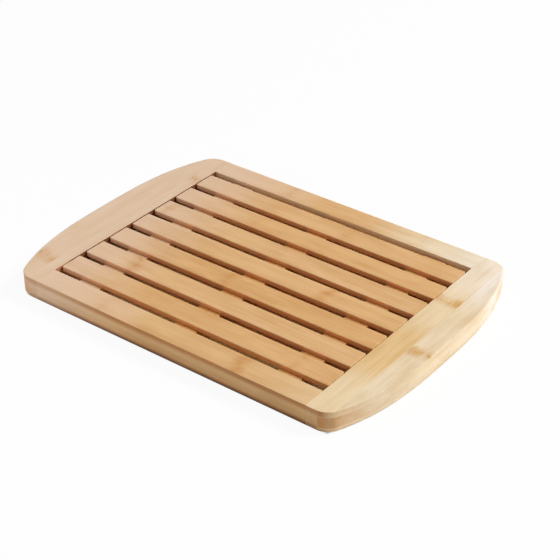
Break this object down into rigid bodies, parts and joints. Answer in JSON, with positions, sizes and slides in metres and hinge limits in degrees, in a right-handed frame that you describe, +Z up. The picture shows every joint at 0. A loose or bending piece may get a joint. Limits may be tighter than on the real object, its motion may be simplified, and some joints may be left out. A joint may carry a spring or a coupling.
{
  "type": "bread board with crumb catcher",
  "caption": "Bamboo bread board with bowed ends and a slatted grid that lifts out of a shallow recess, which catches the crumbs.",
  "frame": {"origin": "under the middle of the board, on the plane of its underside", "axes": "+X along the slats towards the board's right end, +Y towards the back, +Z up"},
  "size_m": [0.392, 0.28, 0.023],
  "materials": {
    "cap_bamboo": "satin oiled bamboo, grain from front to back",
    "rail_bamboo": "satin oiled bamboo, grain from left to right",
    "panel_bamboo": "sanded bamboo panel",
    "slat_bamboo": "satin oiled bamboo, grain from left to right",
    "bar_bamboo": "sanded bamboo, grain from front to back",
    "peg_bamboo": "raw bamboo peg"
  },
  "bodies": {
    "tray": {"left_end_cap": "cap_bamboo", "right_end_cap": "cap_bamboo", "front_rail": "rail_bamboo", "back_rail": "rail_bamboo", "floor_panel": "panel_bamboo", "corner_dowel_front_left": "peg_bamboo", "corner_dowel_front_right": "peg_bamboo", "corner_dowel_back_left": "peg_bamboo", "corner_dowel_back_right": "peg_bamboo"},
    "grid": {"slat_1": "slat_bamboo", "slat_2": "slat_bamboo", "slat_3": "slat_bamboo", "slat_4": "slat_bamboo", "slat_5": "slat_bamboo", "slat_6": "slat_bamboo", "slat_7": "slat_bamboo", "cross_bar_left": "bar_bamboo", "cross_bar_middle": "bar_bamboo", "cross_bar_right": "bar_bamboo", "pin_left_1": "peg_bamboo", "pin_left_2": "peg_bamboo", "pin_left_3": "peg_bamboo", "pin_left_4": "peg_bamboo", "pin_left_5": "peg_bamboo", "pin_left_6": "peg_bamboo", "pin_left_7": "peg_bamboo", "pin_middle_1": "peg_bamboo", "pin_middle_2": "peg_bamboo", "pin_middle_3": "peg_bamboo", "pin_middle_4": "peg_bamboo", "pin_middle_5": "peg_bamboo", "pin_middle_6": "peg_bamboo", "pin_middle_7": "peg_bamboo", "pin_right_1": "peg_bamboo", "pin_right_2": "peg_bamboo", "pin_right_3": "peg_bamboo", "pin_right_4": "peg_bamboo", "pin_right_5": "peg_bamboo", "pin_right_6": "peg_bamboo", "pin_right_7": "peg_bamboo"}
  },
  "joints": [
    {"name": "grid_lift", "type": "slide", "parent": "tray", "child": "grid", "axis": [0, 0, 1], "range_m": [0, 0.06]}
  ]
}
